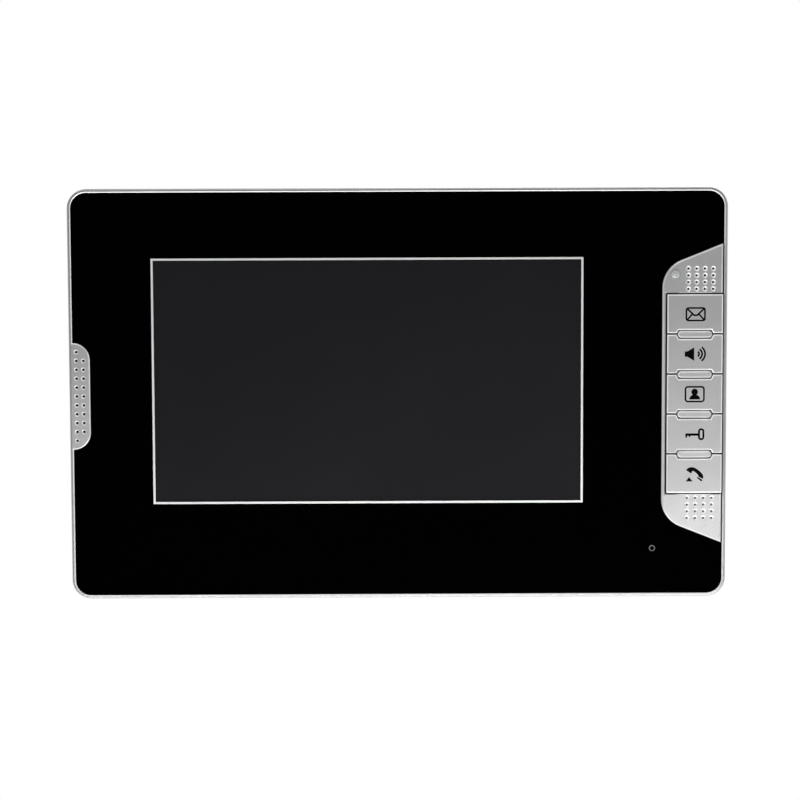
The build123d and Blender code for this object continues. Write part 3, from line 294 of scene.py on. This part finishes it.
finishes = {
    "silver_frame": silverPaint("silverFrame", {
        **silver, "rim": {"half": bodyHalf, "corner": 6.8, "width": 0.8, "tone": 0.45},
        # Painted shade in the gaps below the rim's face and a painted highlight on its bevel.
        "depths": fromFace(rimFront, [
            (-1.0, 0.05), (-0.4, 0.08), (-0.34, 1.0), (-0.04, 1.0), (-0.01, 0.66), (0.2, 0.66)])}),
    "silver_keys": silverPaint("silverKeys", {
        # Painted shade in the gaps between keys and a painted highlight on each key's bevel.
        **silver, "depths": fromFace(keyFront, [
            (-2.0, 0.05), (-0.7, 0.08), (-0.46, 0.3), (-0.43, 1.0), *keyFace]),
        # The notch walls round the bars carry the painted highlight down to their foot, in place of
        # painted shade.
        "band": {"centre": keyCentre, "half": (6.0, 100.0), "corner": 0.1,
                 "depths": fromFace(keyFront, [(-2.0, 0.5), (-0.7, 1.0), *keyFace])}}),
    "silver_trim": silverPaint("silverTrim", {
        **silver, "colour": (0.97, 0.97, 0.98), "metallic": 0.45, "roughness": 0.34, "flake": 0.03}),
    "gloss_black": sheetPlastic("glossBlack", {
        "colour": (0.0004, 0.0004, 0.0005), "ior": 1.49, "gloss": 0.4, "roughness": (0.03, 0.05),
        "wipeScale": 14, "grainScale": 300, "grain": 0.000001,
        # The cut edge of the microphone hole is matt.
        "zone": {"centre": micCentre, "half": (micMouth, micMouth), "corner": micMouth, "ring": True,
                 "share": (1.0, 0.0), "edge": (0.13, 0.2), "colour": grey(0.15), "roughness": 0.7}}),
    "screen_tint": sheetPlastic("screenTint", {
        "colour": (0.013, 0.0126, 0.0148), "ior": 1.45, "roughness": (0.16, 0.22), "wipeScale": 20,
        "grainScale": 3000, "grain": 0.000002,
        # A border is printed black under the silver line.
        "zone": {"centre": trimCentre, "half": windowHalf, "corner": 0.1, "ring": False,
                 "share": (0.0, 1.0), "edge": (0.0, fade), "colour": grey(0.0003), "roughness": 0.1}}),
    "clear_plastic": clearPlastic("clearPlastic", {
        "colour": (0.8, 0.81, 0.82), "clear": 0.45, "roughness": (0.05, 0.08), "hazeScale": 900}),
    "dark_abs": mouldedPlastic("darkAbs", {
        "colour": (0.02, 0.02, 0.022), "vary": 0.14, "roughness": (0.42, 0.55), "driftScale": 45,
        "pitScale": 1700, "pitDepth": 0.00012}),
    "zinc_steel": platedMetal("zincSteel", {
        "colour": (0.62, 0.63, 0.65), "vary": 0.12, "crystalScale": 260, "roughness": (0.3, 0.46),
        "rubScale": 500, "rub": 0.00001}),
    "black_screw": platedMetal("blackScrew", {
        "colour": (0.06, 0.06, 0.065), "vary": 0.1, "crystalScale": 900, "roughness": (0.3, 0.42),
        "rubScale": 900, "rub": 0.00001}),
    "bright_screw": platedMetal("brightScrew", {
        "colour": (0.7, 0.7, 0.7), "vary": 0.06, "crystalScale": 900, "roughness": (0.22, 0.34),
        "rubScale": 900, "rub": 0.00001}),
    "board_green": circuitBoard("boardGreen", {
        "colour": (0.008, 0.075, 0.03), "track": (0.013, 0.105, 0.042), "roughness": 0.42,
        "trackScale": 130, "trackLength": 2.3, "trackPitch": 0.2, "trackWidth": 0.035,
        "trackHeight": 0.00003}),
    "nylon_white": mouldedPlastic("nylonWhite", {
        "colour": (0.78, 0.76, 0.7), "vary": 0.05, "roughness": (0.4, 0.5), "driftScale": 160,
        "pitScale": 2600, "pitDepth": 0.00002}),
    "pin_brass": platedMetal("pinTinned", {
        "colour": (0.8, 0.76, 0.62), "vary": 0.06, "crystalScale": 2000, "roughness": (0.2, 0.3),
        "rubScale": 2000, "rub": 0.000005}),
    "foam_black": mouldedPlastic("foamBlack", {
        "colour": (0.02, 0.02, 0.02), "vary": 0.3, "roughness": (0.85, 0.95), "driftScale": 500,
        "pitScale": 2600, "pitDepth": 0.0004}),
    "tape_white": mouldedPlastic("tapeWhite", {
        "colour": (0.8, 0.8, 0.77), "vary": 0.05, "roughness": (0.6, 0.7), "driftScale": 300,
        "pitScale": 3000, "pitDepth": 0.00003}),
    "lcd_glass": sheetPlastic("lcdGlass", {
        "colour": (0.012, 0.012, 0.015), "ior": 1.52, "roughness": (0.2, 0.3), "wipeScale": 40,
        "grainScale": 3000, "grain": 0.000002}),
    "diffuser_white": mouldedPlastic("diffuserWhite", {
        "colour": (0.85, 0.85, 0.85), "vary": 0.03, "roughness": (0.6, 0.7), "driftScale": 300,
        "pitScale": 3000, "pitDepth": 0.00001}),
    "guide_clear": clearPlastic("guideClear", {
        "colour": (0.85, 0.9, 0.9), "clear": 0.85, "roughness": (0.05, 0.1), "hazeScale": 600}),
    "flex_amber": sheetPlastic("flexAmber", {
        "colour": (0.42, 0.16, 0.02), "ior": 1.6, "roughness": (0.25, 0.35), "wipeScale": 200,
        "grainScale": 1200, "grain": 0.00001}),
    "chip_black": mouldedPlastic("chipBlack", {
        "colour": (0.018, 0.018, 0.018), "vary": 0.1, "roughness": (0.5, 0.6), "driftScale": 400,
        "pitScale": 4000, "pitDepth": 0.00004}),
    "can_aluminium": platedMetal("canAluminium", {
        "colour": (0.78, 0.78, 0.79), "vary": 0.04, "crystalScale": 1500, "roughness": (0.25, 0.35),
        "rubScale": 900, "rub": 0.00001}),
    "ferrite": mouldedPlastic("ferrite", {
        "colour": (0.03, 0.03, 0.032), "vary": 0.2, "roughness": (0.55, 0.7), "driftScale": 500,
        "pitScale": 2500, "pitDepth": 0.00008}),
    "switch_black": mouldedPlastic("switchBlack", {
        "colour": (0.02, 0.02, 0.02), "vary": 0.1, "roughness": (0.4, 0.5), "driftScale": 300,
        "pitScale": 3500, "pitDepth": 0.00003}),
    "led_clear": clearPlastic("ledClear", {
        "colour": (0.9, 0.9, 0.86), "clear": 0.7, "roughness": (0.04, 0.08), "hazeScale": 900}),
    "speaker_steel": platedMetal("speakerSteel", {
        "colour": (0.1, 0.1, 0.1), "vary": 0.1, "crystalScale": 600, "roughness": (0.4, 0.5),
        "rubScale": 700, "rub": 0.00001}),
    "cone_paper": mouldedPlastic("conePaper", {
        "colour": (0.025, 0.025, 0.025), "vary": 0.25, "roughness": (0.8, 0.9), "driftScale": 700,
        "pitScale": 2500, "pitDepth": 0.0001}),
    "wire_grey": mouldedPlastic("wireGrey", {
        "colour": (0.22, 0.22, 0.24), "vary": 0.08, "roughness": (0.45, 0.55), "driftScale": 200,
        "pitScale": 3000, "pitDepth": 0.00002}),
    "boot_rubber": mouldedPlastic("bootRubber", {
        "colour": (0.02, 0.02, 0.02), "vary": 0.1, "roughness": (0.65, 0.75), "driftScale": 300,
        "pitScale": 3000, "pitDepth": 0.00005}),
    "mesh_black": mouldedPlastic("meshBlack", {
        "colour": (0.008, 0.008, 0.008), "vary": 0.3, "roughness": (0.8, 0.9), "driftScale": 900,
        "pitScale": 6000, "pitDepth": 0.0002}),
}

# The key column is painted like the frame, with painted highlight and shade by depths of its own. In
# its band the mouths of the grille dimples and the edges of the key window get a painted highlight as
# bright as the keys, and the dimples' cores get painted shade.
columnFinish = silverPaint("silverColumn", {
    **silver, "depths": fromFace(columnFront, [
        (-1.9, 0.04), (-0.66, 0.08), (-0.6, 0.4), (-0.48, 0.4), (-0.45, 0.8), (-0.04, 0.8),
        *columnFace]) + barFace,
    "band": {"centre": (columnCentre[0] + columnHalf[0] - grilleHalf[0], columnCentre[1]),
             "half": grilleHalf, "corner": 0.1, "depths": fromFace(columnFront, [
                 (-1.9, 0.04), (-0.5, 0.08), (-0.4, 1.0), (-0.04, 1.0), *columnFace]) + barFace}})
for name, node in nodes.items():
    for slot in node.material_slots:
        slot.material = columnFinish if name == "key_trim" else finishes[slot.material.name]
print("finishes:", len(finishes))


# A mesh object from points and faces, riding on a body. The faces are arrays of corner rows,
# one array for each number of corners.
def newPiece(name, points, faces, finish, body):
    mesh = bpy.data.meshes.new(name)
    mesh.from_pydata(points.tolist(), [], [row for rows in faces for row in rows.tolist()])
    mesh.materials.append(finish)
    mesh.update()
    piece = bpy.data.objects.new(name, mesh)
    bpy.context.scene.collection.objects.link(piece)
    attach(piece, body)


# Points of a circle or an arc, as (x, z) rows.
def arc(x, z, radiusX, radiusZ, start, end, count):
    angle = np.radians(np.linspace(start, end, count))
    return np.column_stack([x + radiusX * np.cos(angle), z + radiusZ * np.sin(angle)])


# A rectangle about (x, z) with rounded corners: four quarter circles in turn.
def roundedBox(x, z, halfX, halfZ, radius, count=6):
    turns = []
    for start, signX, signZ in ((0, 1, 1), (90, -1, 1), (180, -1, -1), (270, 1, -1)):
        middle = x + signX * (halfX - radius), z + signZ * (halfZ - radius)
        turns.append(arc(*middle, radius, radius, start, start + 90, count))
    return np.vstack(turns)


# Print as a thin slab: its outline goes round counter-clockwise seen from the front,
# carried from the face it lies on to the ink's front.
def printed(outline, back, front):
    count = len(outline)
    depth = np.repeat([back, front], count)
    x, z = np.tile(outline[:, 0], 2), np.tile(outline[:, 1], 2)
    points = np.column_stack([x, -depth, z]) * mm
    here = np.arange(count)
    after = np.roll(here, -1)
    sides = np.column_stack([here, after, after + count, here + count])
    return points, [sides, here[None, :] + count, here[None, ::-1]]


# A printed line: a strip of one width whose middle follows a path, closed or with square ends.
# Its two sides are the path moved by half a width along the mean normal of the runs that meet,
# and further at a corner, by one over the cosine of half the turn.
def line(path, width, closed, back, front):
    least = 0.4    # the cosine is held to this, so that a sharp corner stays short
    runs = np.roll(path, -1, axis=0) - path
    runs /= np.linalg.norm(runs, axis=1)[:, None]
    if not closed:
        runs[-1] = runs[-2]
    before = np.roll(runs, 1, axis=0)
    if not closed:
        before[0] = runs[0]
    mean = runs + before
    mean /= np.linalg.norm(mean, axis=1)[:, None]
    normal = np.column_stack([-mean[:, 1], mean[:, 0]])
    stretch = 1 / np.maximum(least, np.sum(mean * runs, axis=1))[:, None]
    left, right = path + normal * stretch * width / 2, path - normal * stretch * width / 2
    if not closed:
        return printed(np.vstack([right, left[::-1]]), back, front)
    # The strip's section has four corners, so its points are four rings along the path.
    count = len(path)
    rings = np.vstack([left, right, right, left])
    depth = np.repeat([back, back, front, front], count)
    points = np.column_stack([rings[:, 0], -depth, rings[:, 1]]) * mm
    index = np.arange(4 * count).reshape(4, count)
    nextRing, nextPoint = np.roll(index, -1, axis=0), np.roll(index, -1, axis=1)
    both = np.roll(nextRing, -1, axis=1)
    return points, [np.stack([index, nextPoint, both, nextRing], axis=-1).reshape(-1, 4)]


# Several point and face sets as one.
def joined(parts):
    points, faces, start = [], [], 0
    for partPoints, partFaces in parts:
        points.append(partPoints)
        faces += [rows + start for rows in partFaces]
        start += len(partPoints)
    return np.vstack(points), faces


# Middle of a key's face and its depth, in millimetres.
def faceOf(name):
    low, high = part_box("key_" + name)
    middle = (low + high) / 2 / mm
    return middle.x, middle.z, -low.y / mm


ink = {"thick": 0.02, "stroke": 0.6}
inkBlack = sheetPlastic("inkBlack", {
    "colour": (0.0008, 0.0008, 0.001), "ior": 1.4, "gloss": 0.06, "roughness": (0.5, 0.6),
    "wipeScale": 300, "grainScale": 4000, "grain": 0.000004})

# Envelope: a rounded frame, a flap line and two fold lines that end a little inside its corners.
envelope = {"middle": (0.13, -0.13), "half": (3.3, 2.24), "corner": 0.7, "inset": (0.35, 0.3),
            "flap": (1.05, 0.36), "foldEnd": (1.22, 0.0)}


def drawEnvelope(x, z, back, front):
    look, width = envelope, ink["stroke"]
    x, z = x + look["middle"][0], z + look["middle"][1]
    halfX, halfZ = look["half"]
    endX, endZ = halfX - look["inset"][0], halfZ - look["inset"][1]
    tip, tipZ = look["flap"]
    foldX, foldZ = look["foldEnd"]
    edge = roundedBox(x, z, halfX, halfZ, look["corner"])
    flap = np.array([(endX, endZ), (tip / 2, -tipZ), (-tip / 2, -tipZ), (-endX, endZ)]) + (x, z)
    parts = [line(edge, width, True, back, front), line(flap, width, False, back, front)]
    for side in (-1, 1):
        fold = np.array([(side * foldX, foldZ), (side * endX, -endZ)]) + (x, z)
        parts.append(line(fold, width, False, back, front))
    return joined(parts)


# Speaker: a cone on a short neck and three sound arcs, spans in degrees to either side.
speaker = {"left": -3.65, "neck": -2.7, "right": -0.3, "neckHalf": 0.97, "mouthHalf": 2.4,
           "arcX": 0.55, "radii": (0.9, 2.0, 3.05), "spans": (64, 58, 53), "width": 0.66}


def drawSpeaker(x, z, back, front):
    look = speaker
    neckHalf, mouthHalf = look["neckHalf"], look["mouthHalf"]
    cone = np.array([
        (look["left"], -neckHalf), (look["neck"], -neckHalf), (look["right"], -mouthHalf),
        (look["right"], mouthHalf), (look["neck"], neckHalf), (look["left"], neckHalf)])
    parts = [printed(cone + (x, z), back, front)]
    for radius, span in zip(look["radii"], look["spans"]):
        path = arc(x + look["arcX"], z, radius, radius, -span, span, count=14)
        parts.append(line(path, look["width"], False, back, front))
    return joined(parts)


# Visitor: a head and shoulders in a rounded frame.
visitor = {"half": (3.3, 2.64), "drop": 0.05, "corner": 0.85, "head": 1.18, "headAt": (-0.03, 0.75),
           "shoulder": 1.95, "base": -1.92, "rise": 1.75}


def drawVisitor(x, z, back, front):
    look = visitor
    headX, headZ = look["headAt"]
    edge = roundedBox(x, z - look["drop"], *look["half"], look["corner"])
    # Every 15 degrees, the last one short of the first.
    head = arc(x + headX, z + headZ, look["head"], look["head"], 0, 345, count=24)
    bust = arc(x, z + look["base"], look["shoulder"], look["rise"], 0, 180, count=20)
    return joined([
        line(edge, ink["stroke"], True, back, front), printed(head, back, front),
        printed(bust, back, front)])


# Latch key: an upright oval bow, a shaft and two teeth, the second cut to a narrow tip.
latch = {"bow": (2.43, -0.1), "bowHalf": (0.78, 1.8), "bowRound": 0.75, "stroke": 0.7,
         "shaft": (-3.24, 1.55), "shaftZ": (-0.64, 0.22), "endTooth": (0.62, -1.3),
         "tooth": (-2.14, -1.3, -1.1), "toothTip": (-0.1, 0.12)}


def drawLatch(x, z, back, front):
    look = latch
    bowX, bowZ = x + look["bow"][0], z + look["bow"][1]
    bow = roundedBox(bowX, bowZ, *look["bowHalf"], look["bowRound"], count=8)
    left, right = look["shaft"]
    low, high = look["shaftZ"]
    toothWidth, toothEnd = look["endTooth"]
    toothLeft, toothRight, toothLow = look["tooth"]
    tip = (toothLeft + toothRight) / 2
    tipLeft, tipRight = look["toothTip"]
    shaft = np.array([
        (left, toothEnd), (left + toothWidth, toothEnd), (left + toothWidth, low), (toothLeft, low),
        (tip + tipLeft, toothLow), (tip + tipRight, toothLow), (toothRight, low), (right, low),
        (right, high), (left, high)])
    return joined([line(bow, look["stroke"], True, back, front), printed(shaft + (x, z), back, front)])


# Handset: a curved grip between an ear and a mouth piece, over a small arrow head. The grip runs
# out along its outer side and back along its inner one; all are drawn at a size of one.
handset = {
    "size": 1.07,
    "outer": [(-2.6, 1.38), (-2.14, 1.85), (-1.5, 2.16), (-0.77, 2.27), (0.0, 2.1), (0.51, 1.84),
              (1.2, 1.42), (1.8, 0.92), (2.45, 0.3), (2.91, -0.29), (3.09, -0.87), (3.08, -1.35),
              (2.95, -1.75)],
    "inner": [(1.44, -0.95), (1.42, -0.55), (1.15, -0.2), (0.52, 0.38), (-0.31, 0.98), (-0.75, 0.72),
              (-1.15, 0.5)],
    "ear": [(-2.69, 1.3), (-2.45, 1.06), (-1.03, 0.13), (-0.72, 0.44), (-0.98, 0.62), (-2.5, 1.5)],
    "mouth": [(0.88, -1.38), (2.47, -2.64), (2.82, -2.1), (1.2, -1.05)],
    "arrow": [(-2.85, -2.6), (-0.46, -2.6), (-1.66, -1.1)],
}


def drawHandset(x, z, back, front):
    look = handset
    outlines = [(look["outer"] + look["inner"])[::-1], look["ear"], look["mouth"], look["arrow"]]
    return joined([
        printed(np.array(outline) * look["size"] + (x, z), back, front) for outline in outlines])


drawings = {"message": drawEnvelope, "volume": drawSpeaker, "monitor": drawVisitor,
            "unlock": drawLatch, "talk": drawHandset}
for name, draw in drawings.items():
    x, z, front = faceOf(name)
    points, faces = draw(x, z, front, front + ink["thick"])
    newPiece("print_" + name, points, faces, inkBlack, "key_" + name)
print("key prints:", len(drawings))

# Floor: a pale disc under the object. Past the flat share of its radius the rim turns down, with
# the square of the way.
floorLook = {"radius": 0.62, "height": -0.42, "flat": 0.9, "lip": 0.03, "rings": 24,
             "spokes": 96, "colour": (0.82, 0.82, 0.81), "vary": 0.015, "cloudScale": 6,
             "roughness": 0.85}


def makeFloor(look):
    share = np.linspace(0, 1, look["rings"])[:, None]
    angle = np.linspace(0, 2 * math.pi, look["spokes"], endpoint=False)[None, :]
    radius = share * look["radius"]
    drop = look["lip"] * np.clip((share - look["flat"]) / (1 - look["flat"]), 0, 1) ** 2
    x, y = radius * np.cos(angle), radius * np.sin(angle)
    z = look["height"] - drop * np.ones_like(angle)
    points = np.stack([x, y, z], axis=-1).reshape(-1, 3)
    index = np.arange(look["rings"] * look["spokes"]).reshape(look["rings"], look["spokes"])
    after = np.roll(index, -1, axis=1)
    faces = np.stack([index[:-1], index[1:], after[1:], after[:-1]], axis=-1).reshape(-1, 4)
    mesh = bpy.data.meshes.new("floor")
    mesh.from_pydata(points.tolist(), [], faces.tolist())
    made, tree, shader, place = newFinish("floorPale", Roughness=look["roughness"])
    cloud = noise(tree, place, look["cloudScale"], 3.0)
    tree.links.new(drifting(tree, cloud, look["colour"], look["vary"]), shader.inputs["Base Color"])
    mesh.materials.append(made)
    piece = bpy.data.objects.new("floor", mesh)
    bpy.context.scene.collection.objects.link(piece)


makeFloor(floorLook)

# Room light: white where the camera looks past the object; for everything else a soft sky,
# brighter below than above, that darkens towards the front so that the gloss panel stays black.
room = {"sky": 0.6, "level": 0.75, "ground": 1.0, "frontWay": (0.0, -0.994, -0.11), "front": 0.0,
        "frontEdge": (0.35, 0.9)}


def makeRoom(look):
    world = bpy.data.worlds.new("room")
    bpy.context.scene.world = world
    world.use_nodes = True
    tree = world.node_tree
    tree.nodes.clear()
    way = addNode(tree, "ShaderNodeTexCoord").outputs["Generated"]
    height = addNode(tree, "ShaderNodeSeparateXYZ", {"Vector": way}).outputs["Z"]
    stops = [(0.0, grey(look["ground"])), (0.5, grey(look["level"])), (1.0, grey(look["sky"]))]
    sky = ramp(tree, spread(tree, height, 0, 1, -1, 1), stops)
    ahead = vectorMath(tree, "DOT_PRODUCT", way, look["frontWay"])
    lit = spread(tree, ahead, 1.0, look["front"], *look["frontEdge"])
    faded = vectorMath(tree, "MULTIPLY", sky, lit)
    soft = addNode(tree, "ShaderNodeBackground", {"Color": faded, "Strength": 1.0}).outputs[0]
    white = {"Color": opaque(grey(1.0)), "Strength": 1.0}
    plain = addNode(tree, "ShaderNodeBackground", white).outputs[0]
    seen = addNode(tree, "ShaderNodeLightPath").outputs["Is Camera Ray"]
    both = addNode(tree, "ShaderNodeMixShader", {0: seen, 1: soft, 2: plain}).outputs[0]
    output = addNode(tree, "ShaderNodeOutputWorld")
    tree.links.new(both, output.inputs["Surface"])


makeRoom(room)
print("floor and room made")

# Soft boxes: place, aim, width and height in metres, power in watts.
softBoxes = {
    "low": {"at": (0.08, -0.44, -0.266), "aim": (0.06, -0.02, -0.016), "size": (0.5, 0.08), "power": 1.65},
    "under": {"at": (0.0, -0.08, -0.28), "aim": (0.0, -0.03, 0.0), "size": (0.7, 0.24), "power": 0.8},
    "top": {"at": (-0.1, -0.35, 0.75), "aim": (0.0, 0.0, 0.0), "size": (0.7, 0.4), "power": 1.15},
    "left": {"at": (-0.8, -0.5, 0.25), "aim": (0.0, 0.0, 0.0), "size": (0.3, 0.6), "power": 0.3},
    "right": {"at": (0.8, -0.5, 0.1), "aim": (0.0, 0.0, 0.0), "size": (0.3, 0.6), "power": 0.6},
    "behind": {"at": (0.3, 0.9, 0.6), "aim": (0.0, 0.0, 0.0), "size": (0.8, 0.5), "power": 4.2},
}


# A turn that looks along a way, with its top as near to upright as it can be.
def looking(way):
    back = -np.array(way) / np.linalg.norm(way)
    right = np.cross((0.0, 0.0, 1.0), back)
    right /= np.linalg.norm(right)
    return Matrix(np.column_stack([right, np.cross(back, right), back]).tolist()).to_4x4()


for name, look in softBoxes.items():
    lamp = bpy.data.lights.new("soft_" + name, "AREA")
    lamp.shape = "RECTANGLE"
    lamp.size, lamp.size_y = look["size"]
    lamp.energy = look["power"]
    box = bpy.data.objects.new("soft_" + name, lamp)
    box.matrix_world = Matrix.Translation(look["at"]) @ looking(np.subtract(look["aim"], look["at"]))
    box.visible_camera = False
    bpy.context.scene.collection.objects.link(box)
print("lights:", len(softBoxes))

# Camera: turned by tilt, yaw and roll in degrees about the middle of the object, a metre from it.
cameraLook = {"tilt": 6.12, "yaw": 0.25, "roll": 0.209, "away": 1.0, "middleY": -0.0236,
              "lens": 125.77, "shift": (0.0023, -0.0071)}


def makeCamera(look):
    tilt, yaw, roll = (math.radians(look[key]) for key in ("tilt", "yaw", "roll"))
    cosTilt, sinTilt = math.cos(tilt), math.sin(tilt)
    cosYaw, sinYaw = math.cos(yaw), math.sin(yaw)
    cosRoll, sinRoll = math.cos(roll), math.sin(roll)
    turnTilt = np.array([[1, 0, 0], [0, cosTilt, -sinTilt], [0, sinTilt, cosTilt]])
    turnYaw = np.array([[cosYaw, 0, sinYaw], [0, 1, 0], [-sinYaw, 0, cosYaw]])
    turnRoll = np.array([[cosRoll, -sinRoll, 0], [sinRoll, cosRoll, 0], [0, 0, 1]])
    rows = turnRoll @ turnTilt @ turnYaw
    # The rows are in (right, up, outward) terms, and outward is -Y.
    axes = np.column_stack([rows[:, 0], -rows[:, 2], rows[:, 1]])
    data = bpy.data.cameras.new("camera")
    data.lens = look["lens"]
    data.shift_x, data.shift_y = look["shift"]
    data.clip_start = 0.01
    camera = bpy.data.objects.new("camera", data)
    place = np.array([0, look["middleY"], 0]) + look["away"] * axes[2]
    camera.matrix_world = Matrix.Translation(place.tolist()) @ Matrix(axes.T.tolist()).to_4x4()
    bpy.context.scene.collection.objects.link(camera)
    bpy.context.scene.camera = camera


makeCamera(cameraLook)
bpy.context.scene.view_settings.view_transform = "Standard"
print("camera lens:", cameraLook["lens"])
